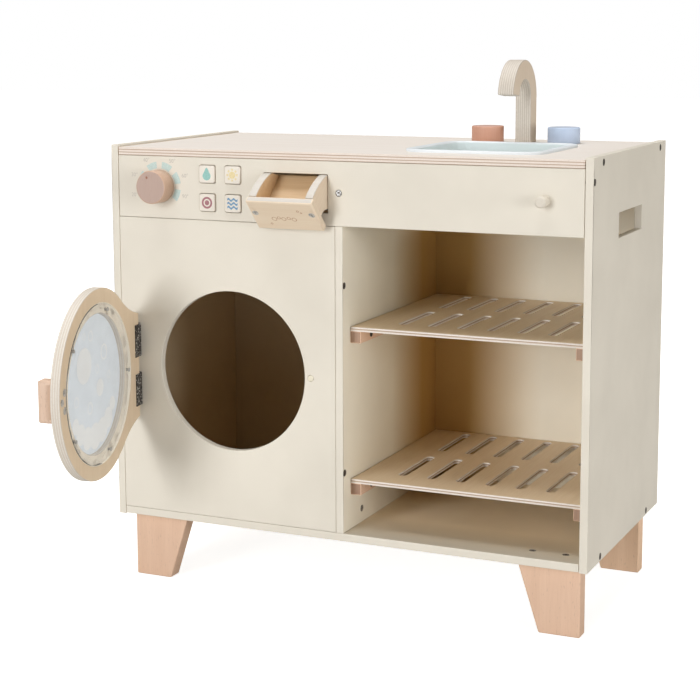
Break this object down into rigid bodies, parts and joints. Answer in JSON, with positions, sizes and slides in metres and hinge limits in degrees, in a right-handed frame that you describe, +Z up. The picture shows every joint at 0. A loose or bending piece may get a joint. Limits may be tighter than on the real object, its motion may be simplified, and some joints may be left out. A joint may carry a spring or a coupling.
{
  "type": "toy washing machine with sink",
  "caption": "Play laundry cabinet with a round porthole door, dial, push buttons, tipping soap tray, sink with taps and slotted shelves, on four legs.",
  "frame": {"origin": "on the floor, below the middle of the stored object's box, with the door open as stored", "axes": "+X to the right seen from the front, +Y to the back, +Z up"},
  "size_m": [0.576, 0.5286, 0.6135],
  "materials": {
    "cream_paint": "satin paint on board",
    "worktop_wood": "pale lacquered veneer",
    "plywood": "clear matt lacquer",
    "beech": "clear matt lacquer",
    "dial_wood": "clear matt lacquer",
    "pale_wood": "clear matt lacquer",
    "button_wood": "printed and lacquered",
    "sink_mint": "gloss",
    "orange_paint": "satin paint",
    "blue_paint": "satin paint",
    "white_plastic": "matt",
    "clear_window": "clear acrylic",
    "dark_steel": "dark plated",
    "bright_steel": "zinc plated"
  },
  "bodies": {
    "cabinet": {"side_panel_left": "cream_paint", "side_panel_right": "cream_paint", "bottom_board": "cream_paint", "worktop": "worktop_wood", "back_panel": "cream_paint", "divider_panel": "cream_paint", "divider_block": "beech", "control_panel": "cream_paint", "washer_front_panel": "cream_paint", "upper_batten_left": "beech", "upper_batten_right": "beech", "lower_batten_left": "beech", "lower_batten_right": "beech", "leg_front_left": "beech", "leg_front_right": "beech", "leg_rear_left": "beech", "leg_rear_right": "beech", "sink_basin": "sink_mint", "tap_spout": "pale_wood", "towel_peg": "cream_paint", "panel_screws": "dark_steel", "leg_screws": "bright_steel", "batten_screws": "dark_steel", "front_panel_magnet": "bright_steel", "hinge_frame_leaves": "dark_steel", "hinge_frame_screws": "dark_steel", "hinge_pins": "dark_steel", "button_housing": "white_plastic", "button_housing_screws": "bright_steel", "button_springs": "bright_steel", "tray_hinge_rail_leaves": "bright_steel", "tray_hinge_pins": "bright_steel"},
    "door": {"door_frame": "plywood", "door_window": "clear_window", "window_screws": "bright_steel", "door_handle": "beech", "handle_screws": "bright_steel", "door_strike": "bright_steel", "hinge_door_leaves": "dark_steel", "hinge_door_screws": "dark_steel"},
    "dial": {"dial_knob": "dial_wood", "dial_retainer": "bright_steel"},
    "top_left_button": {"button_top_left": "button_wood"},
    "top_right_button": {"button_top_right": "button_wood"},
    "bottom_left_button": {"button_bottom_left": "button_wood"},
    "bottom_right_button": {"button_bottom_right": "button_wood"},
    "hot_tap": {"hot_tap_knob": "orange_paint", "hot_tap_retainer": "bright_steel"},
    "cold_tap": {"cold_tap_knob": "blue_paint", "cold_tap_retainer": "bright_steel"},
    "soap_tray": {"tray_front": "pale_wood", "tray_cheek_left": "pale_wood", "tray_cheek_right": "pale_wood", "tray_floor": "pale_wood", "tray_screws": "bright_steel", "tray_hinge_leaves": "bright_steel", "tray_stops": "beech"},
    "upper_shelf": {"shelf_upper": "plywood"},
    "lower_shelf": {"shelf_lower": "plywood"}
  },
  "joints": [
    {"name": "door_hinge", "type": "hinge", "parent": "cabinet", "child": "door", "pos_m": [-0.254, -0.03821, 0.263], "axis": [0, 0, -1], "range_deg": [-80.6, 24.4]},
    {"name": "dial_turn", "type": "hinge", "parent": "cabinet", "child": "dial", "pos_m": [-0.224, -0.03571, 0.4725], "axis": [0, -1, 0], "continuous": true},
    {"name": "tray_tilt", "type": "hinge", "parent": "cabinet", "child": "soap_tray", "pos_m": [-0.05075, -0.03751, 0.4347], "axis": [1, 0, 0], "range_deg": [-45, 0]},
    {"name": "hot_tap_turn", "type": "hinge", "parent": "cabinet", "child": "hot_tap", "pos_m": [0.088, 0.20429, 0.516], "axis": [0, 0, 1], "continuous": true},
    {"name": "cold_tap_turn", "type": "hinge", "parent": "cabinet", "child": "cold_tap", "pos_m": [0.182, 0.20429, 0.516], "axis": [0, 0, 1], "continuous": true},
    {"name": "upper_shelf_slide", "type": "slide", "parent": "cabinet", "child": "upper_shelf", "axis": [0, -1, 0], "range_m": [0, 0.12]},
    {"name": "lower_shelf_slide", "type": "slide", "parent": "cabinet", "child": "lower_shelf", "axis": [0, -1, 0], "range_m": [0, 0.12]},
    {"name": "top_left_press", "type": "slide", "parent": "cabinet", "child": "top_left_button", "axis": [0, 1, 0], "range_m": [0, 0.0025], "stiffness_N_per_m": 300, "springref_m": -0.001, "deforming": ["button_springs"]},
    {"name": "top_right_press", "type": "slide", "parent": "cabinet", "child": "top_right_button", "axis": [0, 1, 0], "range_m": [0, 0.0025], "stiffness_N_per_m": 300, "springref_m": -0.001, "deforming": ["button_springs"]},
    {"name": "bottom_left_press", "type": "slide", "parent": "cabinet", "child": "bottom_left_button", "axis": [0, 1, 0], "range_m": [0, 0.0025], "stiffness_N_per_m": 300, "springref_m": -0.001, "deforming": ["button_springs"]},
    {"name": "bottom_right_press", "type": "slide", "parent": "cabinet", "child": "bottom_right_button", "axis": [0, 1, 0], "range_m": [0, 0.0025], "stiffness_N_per_m": 300, "springref_m": -0.001, "deforming": ["button_springs"]}
  ]
}
